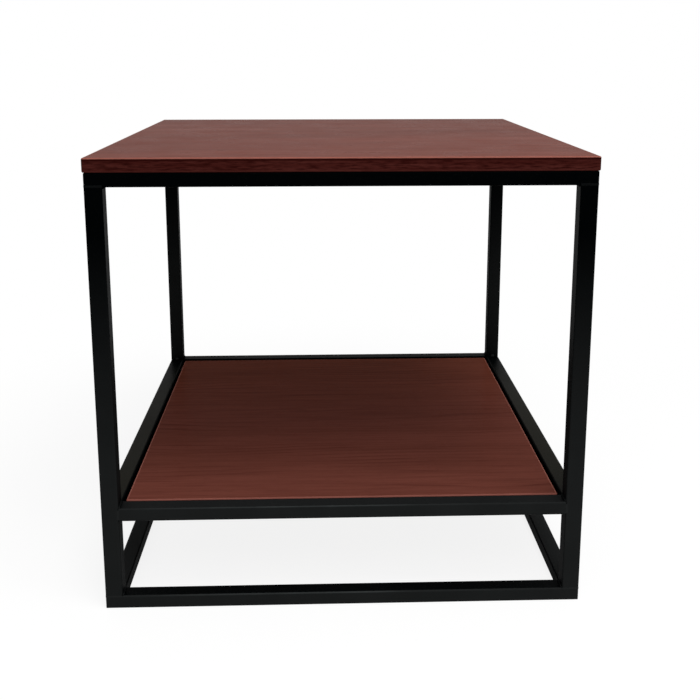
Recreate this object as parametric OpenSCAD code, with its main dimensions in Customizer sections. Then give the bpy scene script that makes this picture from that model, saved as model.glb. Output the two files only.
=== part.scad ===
// Square end table: a welded steel tube frame carries a laminated top board, and a second
// board lies inside a ring of rails near the floor as the shelf.
// Origin: middle of the footprint, on the floor. +X is right, -Y is the front, +Z is up.

/* [Overall] */
// Width of the top board, left to right
top_w = 560; // [400:10:900]
// Depth of the top board, front to back
top_d = 560; // [400:10:900]
// Height of the top surface above the floor
table_h = 530; // [380:10:750]
// Height of the shelf surface above the floor
shelf_h = 125; // [80:1:240]

/* [Boards] */
// Thickness of the top board
top_t = 16; // [14:1:25]
// Thickness of the shelf board
shelf_t = 15; // [14:1:25]
// Thickness of the edge banding
band_t = 2; // [0.5:0.5:3]
// How far the top board stands out past the frame, on each side
top_overhang = 1; // [0:0.5:12]
// Gap between the shelf board and the rails round it
shelf_gap = 4; // [0.5:0.5:5]
// Radius of the boards' upright corners
board_corner_r = 2; // [0.5:0.5:4]

/* [Frame] */
// Width of the square leg tube, and of the rails across their top
leg_w = 20; // [18:1:30]
// Height of the rail tube
rail_h = 16; // [14:1:30]
// Wall thickness of the tube
tube_wall = 1.2; // [0.8:0.1:1.4]
// Outer corner radius of the tube
tube_r = 2; // [1.6:0.2:2.6]
// Radius of the fillet welds
bead_r = 2; // [1:0.25:2.5]

/* [Board fixings] */
// Thickness of the flat bar that the top's tabs and the shelf's ledges are cut from
bar_t = 3; // [3:0.5:5]
// How far a tab or a ledge reaches inwards from its rail
bar_reach = 26; // [20:1:40]
// Width of a tab, along its rail
tab_w = 30; // [20:2:50]
// How far a ledge laps under its rail
ledge_lap = 12; // [8:1:13]
// Distance from a leg to the end of a ledge
ledge_end = 5; // [3:0.5:12]
// Length of each of the short welds that hold a ledge
stitch_l = 30; // [20:2:50]
// Distance from the inner corner of the ring to a screw, along the rail
screw_inset = 70; // [40:5:120]
// Distance from the rail to the screw
screw_offset = 15; // [12:0.5:15]
// Shank diameter of the board screws
screw_d = 4; // [3:0.5:5]
// Length of the screws under the head
screw_len = 14; // [10:1:15]
// Head diameter of the screws
head_d = 8; // [6.5:0.5:10]
// Height of the screw head
head_h = 2.5; // [2:0.25:4]
// Clearance of the screw in its tab or ledge, on the radius
hole_clear = 0.25; // [0.1:0.05:0.5]
// Clearance of the screw in the board's pilot hole, on the radius
pilot_clear = 0.1; // [0.05:0.05:0.3]
// Clearance of the screw's tip in its pilot hole
tip_clear = 0.5; // [0.2:0.1:1]

/* [Hidden] */
$fn = 48;

FRONT = -1;
REAR = 1;
LEFT = -1;
RIGHT = 1;

// The frame's outer footprint, and the clear space inside a ring of rails
frame_w = top_w - 2 * top_overhang;
frame_d = top_d - 2 * top_overhang;
inner_w = frame_w - 2 * leg_w;
inner_d = frame_d - 2 * leg_w;

// The middles of the legs, and the flat of a tube's side between its round edges
leg_x = (frame_w - leg_w) / 2;
leg_y = (frame_d - leg_w) / 2;
leg_flat = leg_w - 2 * tube_r;
rail_flat = rail_h - 2 * tube_r;

// Heights of the frame's layers: each value is the underside of its layer
base_ring_z = 0;
leg_z = base_ring_z + rail_h;
top_board_z = table_h - top_t;
top_ring_z = top_board_z - rail_h;
leg_len = top_ring_z - leg_z;

// The shelf board lies on two ledges, which are welded under the side rails, so a board that is
// thinner than the rails are high lies a little below their tops
shelf_board_w = inner_w - 2 * shelf_gap;
shelf_board_d = inner_d - 2 * shelf_gap;
shelf_board_z = shelf_h - shelf_t;
shelf_ring_z = shelf_board_z;
ledge_z = shelf_board_z - bar_t;
ledge_len = inner_d - 2 * ledge_end;
top_tab_z = top_board_z - bar_t;

// Screw positions, from the middle of the table
screw_x = inner_w / 2 - screw_offset;
screw_y = inner_d / 2 - screw_inset;
pilot_depth = screw_len - bar_t + tip_clear;

// The screw's point, the round of its pan head, and its cross recess
screw_point = 3;
crown_r = 0.3 * head_d;
shoulder_r = 0.44 * head_d;
shoulder_h = 0.72 * head_h;
rim_h = 0.35 * head_h;
recess_w = 1.2;
recess_l = 0.55 * head_d;
recess_depth = 0.6 * head_h;

// How far a cut runs past the face that it opens
cut = 0.01;

frame_colour = [0.06, 0.06, 0.065];
board_colour = [0.36, 0.17, 0.13];
band_colour = [0.27, 0.11, 0.09];
screw_colour = [0.30, 0.30, 0.31];

// ---------- shared shapes ----------

// A rectangle with round corners, centred
module round_rect(w, d, r) {
    square([w - 2 * r, d], center = true);
    square([w, d - 2 * r], center = true);
    for (x = [-1, 1], y = [-1, 1])
        translate([x * (w / 2 - r), y * (d / 2 - r)]) circle(r);
}

// The section of a tube, w across and h high
module tube_section(w, h) {
    difference() {
        round_rect(w, h, tube_r);
        round_rect(w - 2 * tube_wall, h - 2 * tube_wall, tube_r - tube_wall);
    }
}

// A straight rail along X, centred, standing on z = 0
module rail_tube(len) {
    translate([-len / 2, 0, rail_h / 2])
        rotate([90, 0, 90]) linear_extrude(len) tube_section(leg_w, rail_h);
}

// One side of a closed ring, as the front side: mitred at 45 degrees, with the ring's round corners
module ring_side(w, d) {
    intersection() {
        translate([0, (leg_w - d) / 2, 0]) rail_tube(w);
        linear_extrude(rail_h) intersection() {
            round_rect(w, d, tube_r);
            polygon([[-w / 2, -d / 2], [w / 2, -d / 2],
                     [w / 2 - leg_w, leg_w - d / 2], [leg_w - w / 2, leg_w - d / 2]]);
        }
    }
}

// A ring's side across the front or rear, and one along the left or right
module ring_across(side) {
    rotate(side == FRONT ? 0 : 180) ring_side(frame_w, frame_d);
}

module ring_along(side) {
    rotate(side == LEFT ? -90 : 90) ring_side(frame_d, frame_w);
}

// A board's whole outline, banding included
module board_block(w, d, t) {
    linear_extrude(t) round_rect(w, d, board_corner_r);
}

module board_core(w, d, t) {
    intersection() {
        board_block(w, d, t);
        translate([band_t - w / 2, band_t - d / 2, 0]) cube([w - 2 * band_t, d - 2 * band_t, t]);
    }
}

// Banding across the front or rear runs the full width
module band_across(side, w, d, t) {
    intersection() {
        board_block(w, d, t);
        translate([-w / 2, side * (d - band_t) / 2 - band_t / 2, 0]) cube([w, band_t, t]);
    }
}

// Banding along the left or right fits between the other two
module band_along(side, w, d, t) {
    intersection() {
        board_block(w, d, t);
        translate([side * (w - band_t) / 2 - band_t / 2, band_t - d / 2, 0])
            cube([band_t, d - 2 * band_t, t]);
    }
}

// The blind holes for a board's screws, from its underside at z
module pilot_holes(z) {
    for (x = [LEFT, RIGHT], y = [FRONT, REAR])
        translate([x * screw_x, y * screw_y, z - cut])
            cylinder(d = screw_d + 2 * pilot_clear, h = pilot_depth + cut);
}

// A piece of flat bar under a board, with its middle at y and a hole at each of screw_ys: it reaches
// in from the ring's inner face and laps out under the rail
module fixing_bar(x, y, z, len, lap, screw_ys) {
    color(frame_colour) difference() {
        translate([x * (inner_w + lap - bar_reach) / 2, y, z + bar_t / 2])
            cube([bar_reach + lap, len, bar_t], center = true);
        for (screw_at = screw_ys)
            translate([x * screw_x, screw_at, z - cut])
                cylinder(d = screw_d + 2 * hole_clear, h = bar_t + 2 * cut);
    }
}

// A pan head wood screw, driven upwards: its head bears on the plane z = 0
module screw() {
    difference() {
        rotate_extrude() polygon([
            [0, -head_h], [crown_r, -head_h], [shoulder_r, -shoulder_h],
            [head_d / 2, -rim_h], [head_d / 2, 0], [screw_d / 2, 0],
            [screw_d / 2, screw_len - screw_point], [0, screw_len]]);
        for (turn = [0, 90])
            rotate(turn) translate([-recess_l / 2, -recess_w / 2, -head_h - cut])
                cube([recess_l, recess_w, recess_depth + cut]);
    }
}

module screw_set(z) {
    color(screw_colour) for (x = [LEFT, RIGHT], y = [FRONT, REAR])
        translate([x * screw_x, y * screw_y, z]) screw();
}

// A quarter-round fillet weld along X, in the corner of the planes y = 0 and z = 0
module bead(len) {
    translate([-len / 2, 0, 0]) rotate([90, 0, 90]) linear_extrude(len) intersection() {
        circle(bead_r);
        square(bead_r);
    }
}

// The weld in the groove that a tube's round edge leaves at a flush joint: along X, with the outer
// face at y = 0 and the other piece's flat end at z = 0
module groove_weld(len) {
    translate([-len / 2, 0, 0]) rotate([90, 0, 90]) linear_extrude(len) difference() {
        translate([0, -tube_r]) square([tube_wall, tube_r]);
        translate([tube_r, -tube_r]) circle(tube_r);
    }
}

// Draws its children at the front left corner of the frame, and mirrored at the other three
module each_corner() {
    for (x = [0, 1], y = [0, 1])
        mirror([x, 0, 0]) mirror([0, y, 0]) children();
}

// The two inner welds where a leg meets the flat side of a rail at z = 0
module inner_welds() {
    each_corner() {
        translate([-inner_w / 2, -leg_y, 0]) rotate(-90) bead(leg_flat);
        translate([-leg_x, -inner_d / 2, 0]) bead(leg_flat);
    }
}

// The outer weld of a leg's end on the ring below z = 0, ground flush round the corner
module outer_welds() {
    each_corner() intersection() {
        translate([-leg_x, -leg_y, -tube_r])
            linear_extrude(tube_r) round_rect(leg_w, leg_w, tube_r);
        union() {
            translate([-leg_x, -frame_d / 2, 0]) groove_weld(leg_w);
            translate([-frame_w / 2, -leg_y, 0]) rotate(-90) groove_weld(leg_w);
        }
    }
}

// The upright outer welds between the shelf rails' ends and the legs' round edges
module shelf_groove_welds() {
    each_corner() translate([0, 0, shelf_ring_z + rail_h / 2]) {
        translate([-inner_w / 2, -frame_d / 2, 0])
            rotate([0, 90, 0]) groove_weld(rail_flat);
        translate([-frame_w / 2, -inner_d / 2, 0])
            mirror([1, -1, 0]) rotate([0, 90, 0]) groove_weld(rail_flat);
    }
}

// All the welds that join the legs to the flat of a ring at z = 0
module leg_end_welds() {
    inner_welds();
    outer_welds();
}

// ---------- the frame ----------

// The base ring lies on the floor, and the top ring lies under the top board
module base_rail_across(side) {
    color(frame_colour) translate([0, 0, base_ring_z]) ring_across(side);
}

module base_rail_along(side) {
    color(frame_colour) translate([0, 0, base_ring_z]) ring_along(side);
}

module top_rail_across(side) {
    color(frame_colour) translate([0, 0, top_ring_z]) ring_across(side);
}

module top_rail_along(side) {
    color(frame_colour) translate([0, 0, top_ring_z]) ring_along(side);
}

// A leg stands on the base ring and carries the top ring
module leg(x, y) {
    color(frame_colour) translate([x * leg_x, y * leg_y, leg_z])
        linear_extrude(leg_len) tube_section(leg_w, leg_w);
}

// The shelf's rails are cut square and fit between the legs
module shelf_rail_across(side) {
    color(frame_colour) translate([0, side * leg_y, shelf_ring_z]) rail_tube(inner_w);
}

module shelf_rail_along(side) {
    color(frame_colour) translate([side * leg_x, 0, shelf_ring_z]) rotate(90) rail_tube(inner_d);
}

module welds_base() {
    color(frame_colour) translate([0, 0, leg_z]) leg_end_welds();
}

module welds_top() {
    color(frame_colour) translate([0, 0, top_ring_z]) mirror([0, 0, 1]) leg_end_welds();
}

// Each shelf rail is welded to its legs above, below and on the outside
module welds_shelf() {
    color(frame_colour) {
        translate([0, 0, shelf_ring_z + rail_h]) inner_welds();
        translate([0, 0, shelf_ring_z]) mirror([0, 0, 1]) inner_welds();
        shelf_groove_welds();
    }
}

// ---------- the boards ----------

module top_panel() {
    color(board_colour) difference() {
        translate([0, 0, top_board_z]) board_core(top_w, top_d, top_t);
        pilot_holes(top_board_z);
    }
}

module top_band_across(side) {
    color(band_colour) translate([0, 0, top_board_z]) band_across(side, top_w, top_d, top_t);
}

module top_band_along(side) {
    color(band_colour) translate([0, 0, top_board_z]) band_along(side, top_w, top_d, top_t);
}

module shelf_panel() {
    color(board_colour) difference() {
        translate([0, 0, shelf_board_z]) board_core(shelf_board_w, shelf_board_d, shelf_t);
        pilot_holes(shelf_board_z);
    }
}

module shelf_band_across(side) {
    color(band_colour) translate([0, 0, shelf_board_z])
        band_across(side, shelf_board_w, shelf_board_d, shelf_t);
}

module shelf_band_along(side) {
    color(band_colour) translate([0, 0, shelf_board_z])
        band_along(side, shelf_board_w, shelf_board_d, shelf_t);
}

// ---------- the board fixings ----------

// A ledge runs from leg to leg and carries the shelf board
module shelf_ledge(x) {
    fixing_bar(x, 0, ledge_z, ledge_len, ledge_lap, [-screw_y, screw_y]);
}

// A tab ends at the ring's inner face and holds the top board down
module top_tab(x, y) {
    fixing_bar(x, y * screw_y, top_tab_z, tab_w, 0, [y * screw_y]);
}

module shelf_screws() {
    screw_set(ledge_z);
}

module top_screws() {
    screw_set(top_tab_z);
}

// A tab is welded to the rail's inner face, under the tab
module welds_tabs() {
    color(frame_colour) for (x = [LEFT, RIGHT], y = [FRONT, REAR])
        translate([x * inner_w / 2, y * screw_y, top_tab_z])
            rotate(x * 90) mirror([0, 0, 1]) bead(tab_w);
}

// A ledge is welded to the rail's underside by three short welds along its outer edge
module welds_ledges() {
    color(frame_colour) for (x = [LEFT, RIGHT], y = [FRONT, 0, REAR])
        translate([x * (inner_w / 2 + ledge_lap), y * screw_y, shelf_ring_z])
            rotate(-x * 90) mirror([0, 0, 1]) bead(stitch_l);
}

base_rail_across(FRONT);  // base_rail_front
base_rail_across(REAR);  // base_rail_rear
base_rail_along(LEFT);  // base_rail_left
base_rail_along(RIGHT);  // base_rail_right
leg(LEFT, FRONT);  // leg_front_left
leg(RIGHT, FRONT);  // leg_front_right
leg(LEFT, REAR);  // leg_rear_left
leg(RIGHT, REAR);  // leg_rear_right
shelf_rail_across(FRONT);  // shelf_rail_front
shelf_rail_across(REAR);  // shelf_rail_rear
shelf_rail_along(LEFT);  // shelf_rail_left
shelf_rail_along(RIGHT);  // shelf_rail_right
top_rail_across(FRONT);  // top_rail_front
top_rail_across(REAR);  // top_rail_rear
top_rail_along(LEFT);  // top_rail_left
top_rail_along(RIGHT);  // top_rail_right
shelf_panel();
shelf_band_across(FRONT);  // shelf_band_front
shelf_band_across(REAR);  // shelf_band_rear
shelf_band_along(LEFT);  // shelf_band_left
shelf_band_along(RIGHT);  // shelf_band_right
top_panel();
top_band_across(FRONT);  // top_band_front
top_band_across(REAR);  // top_band_rear
top_band_along(LEFT);  // top_band_left
top_band_along(RIGHT);  // top_band_right
shelf_ledge(LEFT);  // shelf_ledge_left
shelf_ledge(RIGHT);  // shelf_ledge_right
top_tab(LEFT, FRONT);  // top_tab_front_left
top_tab(RIGHT, FRONT);  // top_tab_front_right
top_tab(LEFT, REAR);  // top_tab_rear_left
top_tab(RIGHT, REAR);  // top_tab_rear_right
shelf_screws();
top_screws();
welds_base();
welds_shelf();
welds_top();
welds_tabs();
welds_ledges();
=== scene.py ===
"""End table with shelf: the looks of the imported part.

The frame's tubes, ledges, tabs, screws and board panels are the CAD nodes with new materials. The
edge banding and the welds are modelled here, because their rounded arrises and ripples are finer
than the CAD solids. The tacks at the legs' feet are small pieces that the solids leave out.
Units are metres: +X is right, -Y is the front, +Z is up.
"""
import math

import bmesh
import bpy
from mathutils import Matrix, Vector


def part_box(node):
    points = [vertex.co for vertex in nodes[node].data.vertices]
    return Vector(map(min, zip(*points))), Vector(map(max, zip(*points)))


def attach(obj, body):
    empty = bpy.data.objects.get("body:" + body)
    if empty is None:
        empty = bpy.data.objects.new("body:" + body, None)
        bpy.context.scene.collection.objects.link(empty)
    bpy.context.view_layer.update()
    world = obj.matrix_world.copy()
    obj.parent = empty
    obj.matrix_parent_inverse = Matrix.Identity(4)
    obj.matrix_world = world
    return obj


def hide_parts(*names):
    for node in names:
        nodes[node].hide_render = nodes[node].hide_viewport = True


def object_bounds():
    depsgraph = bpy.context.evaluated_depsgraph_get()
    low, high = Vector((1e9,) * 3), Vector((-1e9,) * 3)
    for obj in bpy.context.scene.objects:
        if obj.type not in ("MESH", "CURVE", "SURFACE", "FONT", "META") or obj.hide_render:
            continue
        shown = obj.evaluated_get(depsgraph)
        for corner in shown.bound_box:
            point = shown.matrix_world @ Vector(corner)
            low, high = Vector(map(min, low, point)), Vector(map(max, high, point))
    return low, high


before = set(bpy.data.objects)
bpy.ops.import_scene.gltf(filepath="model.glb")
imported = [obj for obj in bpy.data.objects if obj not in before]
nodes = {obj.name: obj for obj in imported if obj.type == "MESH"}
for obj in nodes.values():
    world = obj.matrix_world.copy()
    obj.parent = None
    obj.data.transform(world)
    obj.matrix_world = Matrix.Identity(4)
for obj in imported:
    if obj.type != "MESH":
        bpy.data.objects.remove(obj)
cad_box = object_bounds()
scene = bpy.context.scene
MM = 0.001

# ---------- camera ----------

CAMERA_PLACE = (-0.0263, -1.3018, 0.6445)
CAMERA_PITCH = 11.23   # degrees below the horizon
CAMERA_YAW = 1.87      # degrees to the right of straight ahead
LENS = 49.13           # millimetres
SENSOR = 36            # millimetres
SHIFT_Y = -0.16        # frames the table a little high, so that its uprights stay near parallel
CLIP_START = 0.05


def add_camera():
    cam = bpy.data.cameras.new("camera")
    cam.lens = LENS
    cam.sensor_width = SENSOR
    cam.shift_y = SHIFT_Y
    cam.clip_start = CLIP_START
    obj = bpy.data.objects.new("camera", cam)
    obj.location = CAMERA_PLACE
    obj.rotation_euler = (math.radians(90 - CAMERA_PITCH), 0, math.radians(-CAMERA_YAW))
    scene.collection.objects.link(obj)
    scene.camera = obj


# ---------- shader helper ----------

MIDDLE = (0.3, 0.7)   # most values of a noise lie in this range


def rgb(r, g, b):
    return (r, g, b, 1.0)


def lighter(colour, factor):
    return tuple(factor * channel for channel in colour[:3]) + (1.0,)


class Shader:
    """One procedural material: a Principled shader and the nodes that feed it."""

    def __init__(self, name):
        self.material = bpy.data.materials.new(name)
        self.material.use_nodes = True
        self.tree = self.material.node_tree
        self.surface = self.tree.nodes["Principled BSDF"]
        coordinates = self.add("ShaderNodeTexCoord").outputs
        self.place = coordinates["Object"]
        self.normal = coordinates["Normal"]

    def add(self, kind, inputs=None, **settings):
        node = self.tree.nodes.new(kind)
        for key, value in settings.items():
            setattr(node, key, value)
        for key, value in (inputs or {}).items():
            self.feed(node.inputs[key], value)
        return node

    def feed(self, socket, value):
        if isinstance(value, bpy.types.NodeSocket):
            self.tree.links.new(value, socket)
        else:
            socket.default_value = value

    def finish(self, colour, roughness, normal, gloss, metallic=0.0):
        self.feed(self.surface.inputs["Base Color"], colour)
        self.feed(self.surface.inputs["Roughness"], roughness)
        self.feed(self.surface.inputs["Normal"], normal)
        self.surface.inputs["Specular IOR Level"].default_value = gloss
        self.surface.inputs["Metallic"].default_value = metallic
        return self.material

    def math(self, operation, a, b=0.0):
        return self.add("ShaderNodeMath", {0: a, 1: b}, operation=operation).outputs[0]

    def product(self, first, *factors):
        for factor in factors:
            first = self.math("MULTIPLY", first, factor)
        return first

    def axis(self, vector, name):
        return self.add("ShaderNodeSeparateXYZ", {0: vector}).outputs[name]

    def stretch(self, scale, shift=(0, 0, 0)):
        """The object's coordinates, shifted and then scaled along each axis."""
        moved = self.add("ShaderNodeVectorMath", {0: self.place, 1: shift}, operation="ADD")
        scaled = self.add("ShaderNodeVectorMath", {0: moved.outputs[0], 1: scale}, operation="MULTIPLY")
        return scaled.outputs[0]

    def noise(self, scale, shift=(0, 0, 0), detail=2.0, roughness=0.5):
        """Noise with so many waves per metre along X, Y and Z."""
        place = self.stretch(scale, shift)
        inputs = {"Vector": place, "Scale": 1.0, "Detail": detail, "Roughness": roughness}
        return self.add("ShaderNodeTexNoise", inputs).outputs["Fac"]

    def span(self, value, low, high, to_low=0.0, to_high=1.0):
        """Maps low..high to to_low..to_high, and holds the ends."""
        inputs = {"Value": value, "From Min": low, "From Max": high, "To Min": to_low, "To Max": to_high}
        return self.add("ShaderNodeMapRange", inputs).outputs[0]

    def ramp(self, value, *stops):
        """A colour ramp: each stop is (position, grey)."""
        node = self.add("ShaderNodeValToRGB", {"Fac": value})
        elements = node.color_ramp.elements
        while len(elements) < len(stops):
            elements.new(0.5)
        for element, (position, grey) in zip(elements, stops):
            element.position = position
            element.color = rgb(grey, grey, grey)
        return node.outputs["Color"]

    def blend(self, factor, a, b, mode="MIX"):
        node = self.add("ShaderNodeMix", {0: factor, 6: a, 7: b}, data_type="RGBA", blend_type=mode)
        return node.outputs[2]

    def bump(self, height, distance, strength, under=None):
        inputs = {"Height": height, "Distance": distance, "Strength": strength}
        if under is not None:
            inputs["Normal"] = under
        return self.add("ShaderNodeBump", inputs).outputs[0]


# ---------- board laminate ----------

LAMINATE_GLOSS = 0.0009
LAMINATE_ROUGHNESS = (0.26, 0.32)
LAMINATE_RELIEF = (0.05 * MM, 0.30)   # height and strength, as for every relief below
GRAIN_MID = rgb(0.160, 0.0465, 0.0320)
GRAIN_LIGHT = rgb(0.192, 0.0570, 0.0405)
GRAIN_PALE = lighter(GRAIN_LIGHT, 1.15)
GRAIN_DARK = rgb(0.090, 0.0225, 0.0155)
PORE_TONE = rgb(0.055, 0.0140, 0.0095)
# Painted shade: the shelf board turns darker and redder towards the rear, where the top shades it.
REAR_SHADE_TINT = rgb(1.0, 0.90, 0.74)
REAR_SHADE_RUN = (0 * MM, 240 * MM)   # places on Y between which the painted shade on the shelf board deepens towards the rear

# Each noise is its waves per metre along X, Y and Z. A range holds the noise values between which
# its effect sets in, and an ink is how strongly it then shows.
GROWTH_LINES = 78                 # lines per metre across the grain, before two noises bend them
BEND = (1.3, 5.5, 1)
BEND_BY = 11.0                    # how many lines the slow bend moves them
WAVE = (7, 30, 1)
WAVE_BY = 1.2
LINE_STOPS = ((0.0, 0.0), (0.62, 0.08), (0.88, 1.0), (1.0, 0.0))
LINE_PATCHES = (3.2, 19, 1)
LINE_PATCH_RANGE = (0.44, 0.68)
LINE_INK = 0.75                   # inside a patch
LINE_FAINT_INK = 0.02             # outside it
TONE_BANDS = (0.8, 24, 1)
TONE_BAND_RANGE = (0.36, 0.66)
FIBRES = (9, 190, 1)
DARK_FIBRE_RANGE = (0.46, 0.72)
DARK_FIBRE_INK = 0.42
PALE_FIBRE_RANGE = (0.50, 0.28)
PALE_FIBRE_INK = 0.30
PORES = (60, 1500, 1)
PORE_RANGE = (0.66, 0.74)
PORE_INK = 0.50
PRINT_CLOUDS = (3, 5, 1)
PRINT_CLOUD_STOPS = ((0.3, 0.92), (0.7, 1.0))
SURFACE_WEAR = (22, 22, 22)
PORE_ROUGHNESS = 0.10             # added where there is a pore
FIBRE_RISE = 0.4                  # how far fibres stand up and pores sink in, as shares of the relief
PORE_SINK = 0.8


def growth_lines(s, shift):
    """Dark lines along X: the level lines of a slope across the grain that two noises bend."""
    level = s.axis(s.stretch((0, GROWTH_LINES, 0)), "Y")
    level = s.math("ADD", level, s.product(s.noise(BEND, shift, detail=1.5), BEND_BY))
    level = s.math("ADD", level, s.product(s.noise(WAVE, shift), WAVE_BY))
    return s.ramp(s.math("FRACT", level), *LINE_STOPS)


def laminate(name, shift, depth=1.0, rear_shade=0.0):
    """Satin wood-grain laminate: growth lines, fine fibres and short pores along X. Depth is how strongly
    the lines and fibres are printed; the last argument is how much painted shade turns the tone darker and
    redder at the rear, under the top."""
    s = Shader(name)
    patches = s.noise(LINE_PATCHES, shift, detail=3.0)
    bands = s.noise(TONE_BANDS, shift, detail=3.0, roughness=0.6)
    fibre = s.noise(FIBRES, shift, detail=5.0, roughness=0.68)
    pore = s.span(s.noise(PORES, shift, detail=1.0), *PORE_RANGE)
    cloud = s.noise(PRINT_CLOUDS, shift)
    wear = s.noise(SURFACE_WEAR, shift, detail=4.0, roughness=0.6)
    strength = s.span(patches, *LINE_PATCH_RANGE, LINE_FAINT_INK, LINE_INK * depth)
    dark_fibre = s.span(fibre, *DARK_FIBRE_RANGE, 0.0, DARK_FIBRE_INK * depth)
    pale_fibre = s.span(fibre, *PALE_FIBRE_RANGE, 0.0, PALE_FIBRE_INK * depth)
    rear_shaded = s.span(s.axis(s.place, "Y"), *REAR_SHADE_RUN, 0.0, rear_shade)
    tone = s.blend(s.span(bands, *TONE_BAND_RANGE), GRAIN_MID, GRAIN_LIGHT)
    tone = s.blend(s.product(growth_lines(s, shift), strength), tone, GRAIN_DARK)
    tone = s.blend(dark_fibre, tone, GRAIN_DARK)
    tone = s.blend(pale_fibre, tone, GRAIN_PALE)
    tone = s.blend(s.product(pore, PORE_INK), tone, PORE_TONE)
    tone = s.blend(1.0, tone, s.ramp(cloud, *PRINT_CLOUD_STOPS), "MULTIPLY")
    # painted shade towards the rear of the shelf board
    tone = s.blend(rear_shaded, tone, REAR_SHADE_TINT, "MULTIPLY")
    rough = s.math("ADD", s.span(wear, *MIDDLE, *LAMINATE_ROUGHNESS), s.product(pore, PORE_ROUGHNESS))
    emboss = s.math("SUBTRACT", s.product(fibre, FIBRE_RISE), s.product(pore, PORE_SINK))
    return s.finish(tone, rough, s.bump(emboss, *LAMINATE_RELIEF), LAMINATE_GLOSS)


# ---------- edge banding's material ----------

BAND_GLOSS = 0.003
BAND_ROUGHNESS = (0.36, 0.46)
BAND_RELIEF = (0.05 * MM, 0.3)
BAND_DARK = rgb(0.026, 0.0035, 0.0028)
BAND_MID = rgb(0.057, 0.0106, 0.0084)
BAND_LIGHT = rgb(0.083, 0.0192, 0.0154)
BAND_PALE = lighter(BAND_LIGHT, 1.3)
# The banding's arrises: a paler trimmed edge with a painted highlight on it. The shelf's side arrises carry
# a stronger painted highlight than its front and rear.
TOP_ARRIS_HIGHLIT = rgb(0.330, 0.1150, 0.0880)
SHELF_ARRIS_HIGHLIT = rgb(0.300, 0.1050, 0.0800)
SHELF_SIDE_ARRIS_HIGHLIT = rgb(0.360, 0.1310, 0.1000)

STREAKS = (70, 620)                # waves per metre along a strip and up it
STREAK_RANGE = (0.44, 0.62)
STREAK_INK = 0.92
STREAK_GROUPS = (9, 240)
STREAK_GROUP_RANGE = (0.36, 0.64)
PAINTED_SHADE_EDGE = (4.2 * MM, 3.0 * MM)   # over these depths below the top, a painted shade line under the arris sets in
PAINTED_SHADE_EDGE_INK = 0.95
PALE_EDGE = (2.6 * MM, 1.4 * MM)   # over these heights above the underside, the pale zone sets in
PALE_EDGE_INK = 0.60
SCRAPED_AND_HIGHLIT = (0.10, 0.40)             # over this range of looking up, the upper arris is scraped paler and carries a painted highlight
SCRAPED_AND_HIGHLIT_STREAK_INK = 0.20


def banding(name, across, shift, low, high, arris):
    """Edge banding from height low to high: short streaks along its length, a painted shade line under the
    top, and scraped arrises above that are paler and carry a painted highlight. Across says that the strip
    runs along X and not along Y."""
    s = Shader(name)

    def streaky(along, up, **look):
        scale = (along, 1, up) if across else (1, along, up)
        return s.noise(scale, shift, detail=3.0, **look)

    fibre = streaky(*STREAKS, roughness=0.6)
    bands = streaky(*STREAK_GROUPS)
    z = s.axis(s.place, "Z")
    facing_up = s.axis(s.normal, "Z")
    painted_shade_edge = s.span(z, high - PAINTED_SHADE_EDGE[0], high - PAINTED_SHADE_EDGE[1], 0.0, PAINTED_SHADE_EDGE_INK)
    pale_edge = s.span(z, low + PALE_EDGE[0], low + PALE_EDGE[1], 0.0, PALE_EDGE_INK)
    scraped_and_highlit = s.blend(s.span(fibre, *MIDDLE, 0.0, SCRAPED_AND_HIGHLIT_STREAK_INK), arris, BAND_LIGHT)
    tone = s.blend(s.span(bands, *STREAK_GROUP_RANGE), BAND_MID, BAND_LIGHT)
    tone = s.blend(s.span(fibre, *STREAK_RANGE, 0.0, STREAK_INK), tone, BAND_DARK)
    # painted shade: a dark line just under the upper arris
    tone = s.blend(painted_shade_edge, tone, BAND_DARK)
    tone = s.blend(pale_edge, tone, BAND_PALE)
    # the upper arris: scraped paler, with a painted highlight
    tone = s.blend(s.span(facing_up, *SCRAPED_AND_HIGHLIT), tone, scraped_and_highlit)
    rough = s.span(fibre, *MIDDLE, *BAND_ROUGHNESS)
    return s.finish(tone, rough, s.bump(fibre, *BAND_RELIEF), BAND_GLOSS)


# ---------- powder coat ----------

COAT_GLOSS = 0.005
RUBBED_GLOSS = 0.0090       # of the rails that a hand polishes when it reaches for the shelf
COAT_ROUGHNESS = (0.34, 0.42)
COAT_TOP = rgb(0.0003, 0.0007, 0.0009)
# The coat's grey is painted light, strongest towards the floor; higher up it gives way to painted shade.
COAT_PAINTED_LIGHT = rgb(0.0185, 0.0200, 0.0200)
COAT_WOOD_REFLECTION = rgb(0.0205, 0.0190, 0.0120)   # a painted warm reflection of the shelf board, the side rails' painted light beside it
# The upper arrises' paler tone is wear and a painted highlight.
COAT_ARRIS_WEAR_AND_HIGHLIGHT = rgb(0.0540, 0.0605, 0.0605)
SPECK_TONE = rgb(0.035, 0.036, 0.036)
GROUND_WELD_HIGHLIGHT = rgb(0.0045, 0.0048, 0.0048)        # a painted highlight: what the coat over a ground outer weld is lighter by

ORANGE_PEEL = (520, 520, 520)
COAT_CLOUDS = (14, 14, 14)
COAT_CLOUD_STOPS = ((0.3, 0.85), (0.7, 1.0))
SPECKS = (1900, 1900, 1900)
SPECK_RANGE = (0.76, 0.80)
SPECK_INK = 0.5
WELD_GRAIN = (900, 900, 900)
PEEL_RELIEF = (0.04 * MM, 0.4)
WELD_RELIEF = (0.10 * MM, 0.7)

COAT_STOPS = ((0.25, 0.0), (0.47, 0.30), (0.62, 0.60), (0.75, 0.85), (0.84, 1.0))   # how dark, by height: painted shade up under the top, painted light towards the floor
OUTSIDE = (0.04, 0.14)      # over this range of outwardness, a face counts as an outer one
INSIDE = (-0.04, -0.14)     # and over this one, as an inner one
DRY_SPRAY = 0.20            # roughness added on low inner faces, which the spray reaches at a slant

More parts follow.
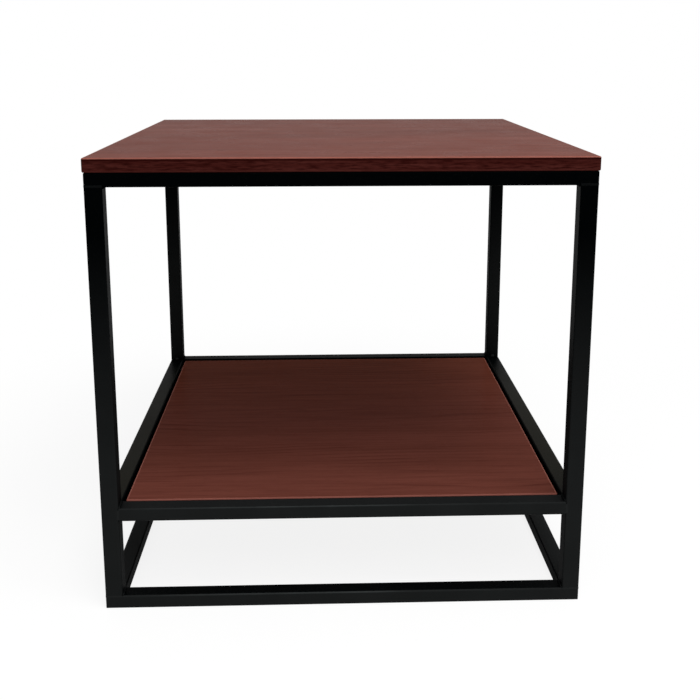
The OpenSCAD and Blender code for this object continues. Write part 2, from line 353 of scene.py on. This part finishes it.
AO_SAMPLES = 8
OPEN_AIR = (0.50, 0.95)     # painted light sets in over this range of open air; below it, corners keep painted shade
CREVICE = 35 * MM           # how far the things that cast painted shade into a corner may be
SHELF_REACH = 120 * MM      # the same at the shelf's side rails
ALCOVE = 260 * MM           # at the rear legs, where the shelf casts painted shade
TACK_REACH = 1 * MM         # and at the tacks, too short for any painted corner shade, so they keep the painted light as a glint
REAR_DARKENING = (80 * MM, 225 * MM)   # over these places on Y, the painted light on the side rails gives way to a painted reflection of the dark rear legs

ARRIS_STOPS = ((0.25, 0.0), (0.55, 0.65), (0.85, 0.65), (0.97, 0.0))   # which slopes are rubbed arrises with a painted highlight
RUB_PATCHES = (0.40, 0.60, 0.75, 1.10)   # from these cloud values to these strengths
RUB_HALF = 280 * MM         # the arrises are rubbed, and painted with a highlight, most over the middle and the left of this half width
RUB_STOPS = ((0.08, 0.08), (0.24, 0.80), (0.36, 0.75), (0.50, 1.0), (0.57, 0.85), (0.66, 0.12), (0.9, 0.05))
LEVEL = (0.93, 0.99)        # a face that looks up this squarely can carry painted shade


def outwardness(s):
    """How far a face looks away from the table's middle: above 0 outside, below 0 inside."""
    inputs = {0: s.normal, 1: s.stretch((1, 1, 0))}
    return s.add("ShaderNodeVectorMath", inputs, operation="DOT_PRODUCT").outputs["Value"]


def painted_light_and_shade(s, low, outer, inner, reach, painted_light_share, inner_shade, darken_to_rear):
    """Where the painted light lies: low down, out of the corners' painted shade, and less on inner faces,
    which carry painted shade.
    """
    # painted shade in corners: ambient occlusion keeps the painted light out of them
    open_air = s.add("ShaderNodeAmbientOcclusion", {"Distance": reach}, samples=AO_SAMPLES).outputs["AO"]
    open_air = s.math("MAXIMUM", open_air, outer)
    # painted shade on the inner faces
    inner_unshaded = s.span(inner, 0.0, 1.0, 1.0, 1.0 - inner_shade)
    painted_lit = s.product(low, s.span(open_air, *OPEN_AIR, 0.0, painted_light_share), inner_unshaded)
    # painted reflection of the dark rear legs: the side rails darken towards the rear
    if darken_to_rear:
        painted_lit = s.product(painted_lit, s.span(s.axis(s.place, "Y"), *REAR_DARKENING, 1.0, 0.0))
    return painted_lit


def rubbed_and_highlit_arrises(s, facing_up, cloud):
    """Where hands and feet have rubbed the upper arrises, and where a painted highlight lies on them."""
    where = s.span(s.axis(s.place, "X"), -RUB_HALF, RUB_HALF)
    patchy = s.span(cloud, *RUB_PATCHES)
    return s.product(s.ramp(facing_up, *ARRIS_STOPS), s.ramp(where, *RUB_STOPS), patchy)


def powder_coat(name, height, gloss=COAT_GLOSS, reach=CREVICE, weld=False, painted_light_share=1.0, level_shade=0.0,
                inner_shade=0.0, darken_to_rear=False, painted_light_tone=COAT_PAINTED_LIGHT):
    """Black satin powder coat: orange peel, faint cloudiness, specks, painted light towards the floor with
    painted shade up high and in corners, and worn upper arrises with a painted highlight. Level faces and
    inner faces can carry painted shade."""
    s = Shader(name)
    cloud = s.noise(COAT_CLOUDS, detail=3.0, roughness=0.6)
    speck = s.noise(SPECKS, detail=0.0)
    facing_up = s.axis(s.normal, "Z")
    outward = outwardness(s)
    outer = s.span(outward, *OUTSIDE)
    inner = s.span(outward, *INSIDE)
    rise = s.math("DIVIDE", s.axis(s.place, "Z"), height)
    # painted shade up high, painted light low down
    low = s.math("SUBTRACT", 1.0, s.ramp(rise, *COAT_STOPS))
    painted_lit = painted_light_and_shade(s, low, outer, inner, reach, painted_light_share, inner_shade, darken_to_rear)
    # black where there is painted shade, the painted light's grey elsewhere
    tone = s.blend(painted_lit, COAT_TOP, s.blend(outer, painted_light_tone, COAT_PAINTED_LIGHT))
    # rubbed wear and a painted highlight on the upper arrises
    tone = s.blend(s.product(rubbed_and_highlit_arrises(s, facing_up, cloud), painted_lit), tone, COAT_ARRIS_WEAR_AND_HIGHLIGHT)
    # painted shade on level faces
    tone = s.blend(s.span(facing_up, *LEVEL, 0.0, level_shade), tone, COAT_TOP)
    # painted highlight on the ground outer welds
    if weld:
        tone = s.blend(outer, tone, GROUND_WELD_HIGHLIGHT, "ADD")
    tone = s.blend(1.0, tone, s.ramp(cloud, *COAT_CLOUD_STOPS), "MULTIPLY")
    tone = s.blend(s.span(speck, *SPECK_RANGE, 0.0, SPECK_INK), tone, SPECK_TONE)
    rough = s.math("ADD", s.span(cloud, *MIDDLE, *COAT_ROUGHNESS), s.product(low, inner, DRY_SPRAY))
    normal = s.bump(s.noise(ORANGE_PEEL), *PEEL_RELIEF)
    if weld:
        normal = s.bump(s.noise(WELD_GRAIN, detail=3.0), *WELD_RELIEF, normal)
    return s.finish(tone, rough, normal, gloss)


# ---------- zinc ----------

ZINC_GLOSS = 0.5
ZINC_ROUGHNESS = (0.28, 0.42)
ZINC_RELIEF = (0.02 * MM, 0.4)
ZINC_DARK = rgb(0.36, 0.36, 0.35)
ZINC_LIGHT = rgb(0.55, 0.55, 0.53)
ZINC_CLOUDS = (300, 300, 300)
ZINC_GRAIN = (2500, 2500, 2500)


def zinc(name):
    """Zinc plated steel: a fine turned grain and cloudy passivation."""
    s = Shader(name)
    cloud = s.noise(ZINC_CLOUDS, detail=3.0)
    tone = s.blend(cloud, ZINC_DARK, ZINC_LIGHT)
    rough = s.span(cloud, *MIDDLE, *ZINC_ROUGHNESS)
    normal = s.bump(s.noise(ZINC_GRAIN), *ZINC_RELIEF)
    return s.finish(tone, rough, normal, ZINC_GLOSS, metallic=1.0)


# ---------- pieces ----------

SHARP = math.radians(32)


def quarter_turn(steps):
    """Angles from 0 to a right angle."""
    return [math.pi / 2 * k / steps for k in range(steps + 1)]


def sweep(bm, rings):
    """Skins closed rings of equal length, and caps both ends."""
    loops = [[bm.verts.new(point) for point in ring] for ring in rings]
    count = len(loops[0])
    for a, b in zip(loops, loops[1:]):
        for i in range(count):
            j = (i + 1) % count
            bm.faces.new((a[i], a[j], b[j], b[i]))
    bm.faces.new(list(reversed(loops[0])))
    bm.faces.new(loops[-1])


def new_piece(name, bm, material, slot, *replaced):
    """Turns a bmesh into a piece that rides on the table's one body, in place of CAD nodes if any."""
    bmesh.ops.recalc_face_normals(bm, faces=bm.faces)
    for face in bm.faces:
        face.smooth = True
    for edge in bm.edges:
        edge.smooth = edge.calc_face_angle(0) < SHARP
    mesh = bpy.data.meshes.new(name)
    bm.to_mesh(mesh)
    bm.free()
    mesh.materials.append(material)
    obj = bpy.data.objects.new(name, mesh)
    scene.collection.objects.link(obj)
    obj.modifiers.new("flat_faces", "WEIGHTED_NORMAL").keep_sharp = True
    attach(obj, "root")
    if replaced:
        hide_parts(*replaced)


def dress_nodes(material, names):
    for name in names:
        for slot in nodes[name].material_slots:
            slot.material = material


# ---------- edge banding ----------

ARRIS_R = 1.8 * MM
ARRIS_STEPS = 6
CORNER_STEPS = 8
GLUE_LINE = 0.15 * MM   # chamfer against the panel, which shows as the joint's line
SIDES = {"front": -1, "rear": 1, "left": -1, "right": 1}


def strip_plan(low, high, side, inset, glue):
    """A strip seen from above: its outer edge moves in by inset, its inner edge out by glue. A strip
    across the front or rear has round ends, as its board has round upright corners."""
    sign = SIDES[side]
    if side in ("left", "right"):
        inner, outer = (high.x, low.x) if sign < 0 else (low.x, high.x)
        inner += sign * glue
        outer -= sign * inset
        return [(outer, low.y), (outer, high.y), (inner, high.y), (inner, low.y)]
    inner = high.y if sign < 0 else low.y
    corner_r = high.y - low.y
    reach = corner_r - inset
    start = math.asin(glue / reach)
    turns = [start + (math.pi / 2 - start) * k / CORNER_STEPS for k in range(CORNER_STEPS + 1)]
    arc = [(reach * math.cos(t), inner + sign * reach * math.sin(t)) for t in turns]
    right_end = [(high.x - corner_r + x, y) for x, y in arc]
    left_end = [(low.x + corner_r - x, y) for x, y in reversed(arc)]
    return right_end + left_end


def banding_strip(node):
    """A strip in its node's box, with round outer arrises above and below."""
    low, high = (Vector(corner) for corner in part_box(node))
    side = node.rsplit("_", 1)[1]
    turns = quarter_turn(ARRIS_STEPS)
    levels = [(ARRIS_R * (1 - math.sin(t)), low.z + ARRIS_R * (1 - math.cos(t))) for t in turns]
    levels += [(ARRIS_R * (1 - math.cos(t)), high.z - ARRIS_R * (1 - math.sin(t))) for t in turns]
    rings = []
    for inset, z in levels:
        glue = max(0, z - (high.z - GLUE_LINE))
        rings.append([(x, y, z) for x, y in strip_plan(low, high, side, inset, glue)])
    bm = bmesh.new()
    sweep(bm, rings)
    return bm


def add_banding():
    for board, shift, arris, side_arris in (("top", TOP_GRAIN, TOP_ARRIS_HIGHLIT, TOP_ARRIS_HIGHLIT),
                                            ("shelf", SHELF_GRAIN, SHELF_ARRIS_HIGHLIT, SHELF_SIDE_ARRIS_HIGHLIT)):
        low, high = (corner[2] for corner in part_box(board + "_panel"))
        across = banding(board + "_banding_across", True, shift, low, high, arris)
        along = banding(board + "_banding_along", False, shift, low, high, side_arris)
        for side in SIDES:
            node = f"{board}_band_{side}"
            material = across if side in ("front", "rear") else along
            new_piece(f"{board}_edge_{side}", banding_strip(node), material, "edge_band", node)


# ---------- welds ----------

TUBE_R = 2.0 * MM        # outer corner radius of the tube
RIPPLE = 1.3 * MM        # pitch of the ripples that each weld pool leaves
RIPPLE_STEPS = 4         # rings along each ripple
RIPPLE_FALL = 0.75       # how far each pool falls off to the next
BEAD_R = 2.0 * MM
BEAD_STEPS = 6           # faces round a bead
BEAD_END = 0.25          # share of the bead's section at its ends
BEAD_RIPPLE = 0.28       # share of a bead's radius that ripples
GROUND_H = 2.8 * MM      # width of a ground outer weld
GROUND_OUT = 0.25 * MM   # how far it stands proud of the tube
GROUND_IN = 1.0 * MM     # how deep it goes into the tube's wall
GROUND_RIPPLE = 0.20     # share of its section that ripples
SHOULDER = (0.7, 0.6)    # where its profile bends, as shares of its bulge and of its half width
STITCH_L = 30 * MM       # length of each short weld under a ledge
TACK_R = 3.0 * MM        # radius of a tack's dome
TACK_OUT = 1.2 * MM      # how far its centre stands out from the corner
TACK_STEPS = (16, 10)    # faces round the dome, and from pole to pole
TACK_ORDER = Vector((1.0, 0.618034, 0.414214))   # no two points of the tacks are level along this
LEGS = ("leg_front_left", "leg_front_right", "leg_rear_left", "leg_rear_right")


def ripple(distance):
    """1 at the crown of each weld pool, less where it freezes onto the one before."""
    share = (distance / RIPPLE) % 1.0
    return math.sqrt(1.0 - RIPPLE_FALL * share * share)


def fillet(bm, middle, along, out, up, length):
    """A rippled quarter-round bead in the corner of two faces, which out and up point away from."""
    middle, along, out, up = (Vector(v) for v in (middle, along, out, up))
    rings = []
    steps = RIPPLE_STEPS * round(length / RIPPLE)
    for step in range(steps + 1):
        distance = length * step / steps
        end = min(distance, length - distance) / BEAD_R
        taper = math.sqrt(min(1.0, BEAD_END + (1 - BEAD_END) * end))
        radius = BEAD_R * taper * (1 - BEAD_RIPPLE + BEAD_RIPPLE * ripple(distance))
        centre = middle + along * (distance - length / 2)
        arc = [centre + radius * (math.cos(t) * out + math.sin(t) * up) for t in quarter_turn(BEAD_STEPS)]
        rings.append([centre] + arc)
    sweep(bm, rings)


def ground_weld(bm, path, up):
    """A low rippled strip along a path of (point, outward) pairs; up is across the strip."""
    up = Vector(up)
    rings = []
    travelled = 0.0
    previous = path[0][0]
    for point, outward in path:
        travelled += (point - previous).length
        previous = point
        size = 1 - GROUND_RIPPLE + GROUND_RIPPLE * ripple(travelled)
        half = GROUND_H / 2 * size
        bulge = GROUND_OUT * size
        bend_out, bend_up = SHOULDER[0] * bulge, SHOULDER[1] * half
        profile = [(-GROUND_IN, -half), (0.0, -half), (bend_out, -bend_up), (bulge, 0.0),
                   (bend_out, bend_up), (0.0, half), (-GROUND_IN, half)]
        rings.append([point + out * outward + rise * up for out, rise in profile])
    sweep(bm, rings)


def straight_path(start, end, outward):
    count = round((end - start).length / (RIPPLE / RIPPLE_STEPS))
    return [(start.lerp(end, i / count), outward) for i in range(count + 1)]


def corner_path(leg, z):
    """Round a leg's two outer faces at a height, from one inner edge to the other."""
    inner, outer, sign = leg["inner"], leg["outer"], leg["sign"]
    pivot = Vector((outer.x - sign.x * TUBE_R, outer.y - sign.y * TUBE_R, z))
    facing_x, facing_y = Vector((sign.x, 0, 0)), Vector((0, sign.y, 0))
    first = straight_path(Vector((inner.x, outer.y, z)), pivot + TUBE_R * facing_y, facing_y)
    last = straight_path(pivot + TUBE_R * facing_x, Vector((outer.x, inner.y, z)), facing_x)
    turns = quarter_turn(CORNER_STEPS)[1:-1]
    bend = [math.sin(t) * facing_x + math.cos(t) * facing_y for t in turns]
    return first + [(pivot + TUBE_R * out, out) for out in bend] + last


def leg_corners():
    """Each leg's inner and outer edge lines, its middle, and the signs of its quadrant."""
    legs = []
    for name in LEGS:
        low, high = (Vector(corner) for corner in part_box(name))
        sign = Vector((math.copysign(1, low.x), math.copysign(1, low.y)))
        near = Vector((low.x if sign.x > 0 else high.x, low.y if sign.y > 0 else high.y))
        far = Vector((high.x if sign.x > 0 else low.x, high.y if sign.y > 0 else low.y))
        legs.append({"inner": near, "outer": far, "sign": sign, "middle": (near + far) / 2,
                     "bottom": low.z, "top": high.z, "flat": high.x - low.x - 2 * TUBE_R})
    return legs


def inner_beads(bm, z, up):
    """The two fillets at each leg's inner faces, on a rail's face at a height."""
    for leg in leg_corners():
        inner, middle, sign = leg["inner"], leg["middle"], leg["sign"]
        fillet(bm, (inner.x, middle.y, z), (0, 1, 0), (-sign.x, 0, 0), (0, 0, up), leg["flat"])
        fillet(bm, (middle.x, inner.y, z), (1, 0, 0), (0, -sign.y, 0), (0, 0, up), leg["flat"])


def leg_end_welds(z, up):
    """Beads inside and ground welds outside, where the legs end at a height. Up leads into the legs."""
    bm = bmesh.new()
    inner_beads(bm, z, up)
    for leg in leg_corners():
        ground_weld(bm, corner_path(leg, z - up * TUBE_R / 2), (0, 0, 1))
    return bm


def shelf_welds():
    """Beads above and below the shelf's ring inside, and ground seams beside each leg outside."""
    bm = bmesh.new()
    low, high = (Vector(corner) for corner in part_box("shelf_rail_front"))
    inner_beads(bm, high.z, 1)
    inner_beads(bm, low.z, -1)
    bottom, top = low.z + TUBE_R, high.z - TUBE_R
    for leg in leg_corners():
        inner, outer, sign = leg["inner"], leg["outer"], leg["sign"]
        seam_x = inner.x + sign.x * TUBE_R / 2
        seam_y = inner.y + sign.y * TUBE_R / 2
        for x, y, outward, across in ((seam_x, outer.y, (0, sign.y, 0), (1, 0, 0)),
                                      (outer.x, seam_y, (sign.x, 0, 0), (0, 1, 0))):
            path = straight_path(Vector((x, y, bottom)), Vector((x, y, top)), Vector(outward))
            ground_weld(bm, path, across)
    return bm


def shelf_tacks():
    """The tack that held each leg to its side rail before the seam was run: a small dome. Blender
    orders a sphere's points and faces differently each run, so that they are put in one order."""
    bm = bmesh.new()
    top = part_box("shelf_rail_front")[1][2]
    round_steps, pole_steps = TACK_STEPS
    for leg in leg_corners():
        place = Vector((leg["middle"].x, leg["inner"].y - leg["sign"].y * TACK_OUT, top + TACK_OUT))
        bmesh.ops.create_uvsphere(bm, u_segments=round_steps, v_segments=pole_steps, radius=TACK_R,
                                  matrix=Matrix.Translation(place))
    bm.verts.sort(key=lambda vert: vert.co.dot(TACK_ORDER))
    bm.faces.sort(key=lambda face: face.calc_center_median().dot(TACK_ORDER))
    return bm


def tab_welds():
    """A bead under each of the top's tabs, at its rail."""
    bm = bmesh.new()
    for name in (name for name in nodes if name.startswith("top_tab")):
        low, high = (Vector(corner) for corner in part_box(name))
        side = math.copysign(1, low.x)
        end = (high.x if side > 0 else low.x, (low.y + high.y) / 2, low.z)
        fillet(bm, end, (0, 1, 0), (-side, 0, 0), (0, 0, -1), high.y - low.y)
    return bm


def ledge_welds():
    """Short beads under each side rail of the shelf, along its ledge's outer edge: one in the middle,
    and two as far to the front and rear as the top's tabs."""
    bm = bmesh.new()
    tabs = [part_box(name) for name in ("top_tab_front_left", "top_tab_rear_left")]
    places = [(low[1] + high[1]) / 2 for low, high in tabs]
    for name, side in (("shelf_ledge_left", -1), ("shelf_ledge_right", 1)):
        low, high = (Vector(corner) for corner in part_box(name))
        edge = high.x if side > 0 else low.x
        for y in places + [0.0]:
            fillet(bm, (edge, y, high.z), (0, 1, 0), (side, 0, 0), (0, 0, -1), STITCH_L)
    return bm


def add_welds(material, tack_material):
    leg = leg_corners()[0]
    new_piece("shelf_weld_tacks", shelf_tacks(), tack_material, "frame_coat")
    for name, bm, node in (("base_weld_beads", leg_end_welds(leg["bottom"], 1), "welds_base"),
                           ("top_weld_beads", leg_end_welds(leg["top"], -1), "welds_top"),
                           ("shelf_weld_beads", shelf_welds(), "welds_shelf"),
                           ("tab_weld_beads", tab_welds(), "welds_tabs"),
                           ("ledge_weld_beads", ledge_welds(), "welds_ledges")):
        new_piece(name, bm, material, "frame_coat", node)


# ---------- studio ----------

# A softbox above and in front, a little to the right, with weak lights overhead and in front.
# Each is a name, its place, what it points at, its two sides and its watts.
LIGHTS = (("key_softbox", (0.5, -1.0, 2.3), (0, 0, 0.3), (1.3, 1.1), 26),
          ("overhead", (0, 0.3, 2.3), (0, 0, 0.3), (1.5, 1.5), 3),
          ("front_fill", (0.3, -1.8, 1.7), (0, 0, 0.15), (1.0, 0.6), 7))


def add_area(name, place, target, size, power):
    light = bpy.data.lights.new(name, "AREA")
    light.shape = "RECTANGLE"
    light.size, light.size_y = size
    light.energy = power
    obj = bpy.data.objects.new(name, light)
    obj.location = place
    direction = Vector(target) - Vector(place)
    obj.rotation_euler = direction.to_track_quat("-Z", "Y").to_euler()
    scene.collection.objects.link(obj)


def seen_directly(tree):
    """1 for camera, glossy and transmission rays, and 0 for the rays that light the object."""
    path = tree.nodes.new("ShaderNodeLightPath").outputs
    total = path["Is Camera Ray"]
    for other in ("Is Glossy Ray", "Is Transmission Ray"):
        node = tree.nodes.new("ShaderNodeMath")
        node.operation = "MAXIMUM"
        tree.links.new(total, node.inputs[0])
        tree.links.new(path[other], node.inputs[1])
        total = node.outputs[0]
    return total


WORLD_LIGHT = 0.33  # what the surroundings add to the lamps, as a share of full light


def add_world():
    world = bpy.data.worlds.new("studio")
    scene.world = world
    world.use_nodes = True
    tree = world.node_tree
    background = tree.nodes["Background"]
    background.inputs["Color"].default_value = rgb(1, 1, 1)
    strength = tree.nodes.new("ShaderNodeMapRange")
    strength.inputs["To Min"].default_value = WORLD_LIGHT
    strength.inputs["To Max"].default_value = 1.0
    tree.links.new(seen_directly(tree), strength.inputs["Value"])
    tree.links.new(strength.outputs[0], background.inputs["Strength"])


FLOOR_SIZE = 12.0
FLOOR_FADE = (0.45, 1.00)   # from here to there the floor turns from lit paper to plain white
FLOOR_BOUNCE = 0.55         # the floor's colour for the rays that light the object
FLOOR_LIT = 0.19            # seen directly, the floor is this much lit paper
FLOOR_GLOW = 0.865          # and this much even white, so that the shadow stays soft


def add_floor():
    half = FLOOR_SIZE / 2
    mesh = bpy.data.meshes.new("floor")
    corners = [(-half, -half, 0), (half, -half, 0), (half, half, 0), (-half, half, 0)]
    mesh.from_pydata(corners, [], [(0, 1, 2, 3)])
    floor = bpy.data.objects.new("floor", mesh)
    scene.collection.objects.link(floor)
    mesh.materials.append(floor_paper())


def floor_paper():
    """Paper that bounces light as plain paper, and looks white with the table's soft shadow on it."""
    material = bpy.data.materials.new("floor_paper")
    material.use_nodes = True
    tree = material.node_tree
    tree.nodes.remove(tree.nodes["Principled BSDF"])

    def paper(grey):
        node = tree.nodes.new("ShaderNodeBsdfDiffuse")
        node.inputs["Color"].default_value = rgb(grey, grey, grey)
        return node.outputs[0]

    def glow(strength):
        node = tree.nodes.new("ShaderNodeEmission")
        node.inputs["Strength"].default_value = strength
        return node.outputs[0]

    def mix(factor, a, b):
        node = tree.nodes.new("ShaderNodeMixShader")
        for socket, source in zip(node.inputs, (factor, a, b)):
            tree.links.new(source, socket)
        return node.outputs[0]

    place = tree.nodes.new("ShaderNodeTexCoord").outputs["Object"]
    far = tree.nodes.new("ShaderNodeVectorMath")
    far.operation = "LENGTH"
    tree.links.new(place, far.inputs[0])
    fade = tree.nodes.new("ShaderNodeMapRange")
    fade.interpolation_type = "SMOOTHSTEP"
    fade.inputs["From Min"].default_value, fade.inputs["From Max"].default_value = FLOOR_FADE
    tree.links.new(far.outputs["Value"], fade.inputs["Value"])
    lit = tree.nodes.new("ShaderNodeAddShader")
    tree.links.new(paper(FLOOR_LIT), lit.inputs[0])
    tree.links.new(glow(FLOOR_GLOW), lit.inputs[1])
    seen = mix(fade.outputs[0], lit.outputs[0], glow(1.0))
    both = mix(seen_directly(tree), paper(FLOOR_BOUNCE), seen)
    tree.links.new(both, tree.nodes["Material Output"].inputs["Surface"])
    return material


# ---------- the table ----------

TOP_GRAIN = (0.31, 0.12, 0.05)     # where each board's pattern is cut from the roll
SHELF_GRAIN = (2.31, 1.77, 0.93)
TOP_DEPTH = 1.3                    # the top's pattern is printed a little deeper than the shelf's

# How a node's name starts, and how the coat differs there: how much painted light it gets, and how much
# painted shade its level faces and its inner faces carry.
SIDE_RAIL = {"gloss": RUBBED_GLOSS, "reach": SHELF_REACH, "level_shade": 0.45, "inner_shade": 1.0,
             "darken_to_rear": True, "painted_light_tone": COAT_WOOD_REFLECTION}
STEEL = (("leg_front", {"inner_shade": 0.5}),
         # the rear left leg gets more painted light than the rear right one
         ("leg_rear_left", {"reach": ALCOVE, "painted_light_share": 1.7}),
         ("leg_rear_right", {"reach": ALCOVE, "painted_light_share": 1.1}),
         ("top_rail", {}),
         ("top_tab", {}),
         ("shelf_ledge", {"inner_shade": 1.0}),
         ("shelf_rail_left", SIDE_RAIL),
         ("shelf_rail_right", SIDE_RAIL),
         ("shelf_rail_front", {"level_shade": 0.5, "inner_shade": 1.0}),
         ("shelf_rail_rear", {"level_shade": 0.6, "inner_shade": 1.0}),
         ("base_rail_left", {"inner_shade": 0.9}),
         ("base_rail_right", {"inner_shade": 0.9}),
         ("base_rail_front", {"level_shade": 0.9}),
         ("base_rail_rear", {"level_shade": 0.9}))

scene.view_settings.view_transform = "Standard"
add_camera()
add_world()
add_floor()
for light in LIGHTS:
    add_area(*light)

table_height = cad_box[1][2]
for start, traits in STEEL:
    coat = powder_coat(start + "_powder_coat", table_height, **traits)
    dress_nodes(coat, [name for name in nodes if name.startswith(start)])
dress_nodes(zinc("zinc_plate"), ["shelf_screws", "top_screws"])
dress_nodes(laminate("top_laminate", TOP_GRAIN, depth=TOP_DEPTH), ["top_panel"])
dress_nodes(laminate("shelf_laminate", SHELF_GRAIN, rear_shade=1.0), ["shelf_panel"])
add_banding()
# the tacks' coat is left out of the painted corner shade, so they show as painted glints at the legs' feet
add_welds(powder_coat("coat_over_weld", table_height, weld=True, inner_shade=1.0),
          powder_coat("coat_over_tack", table_height, reach=TACK_REACH))
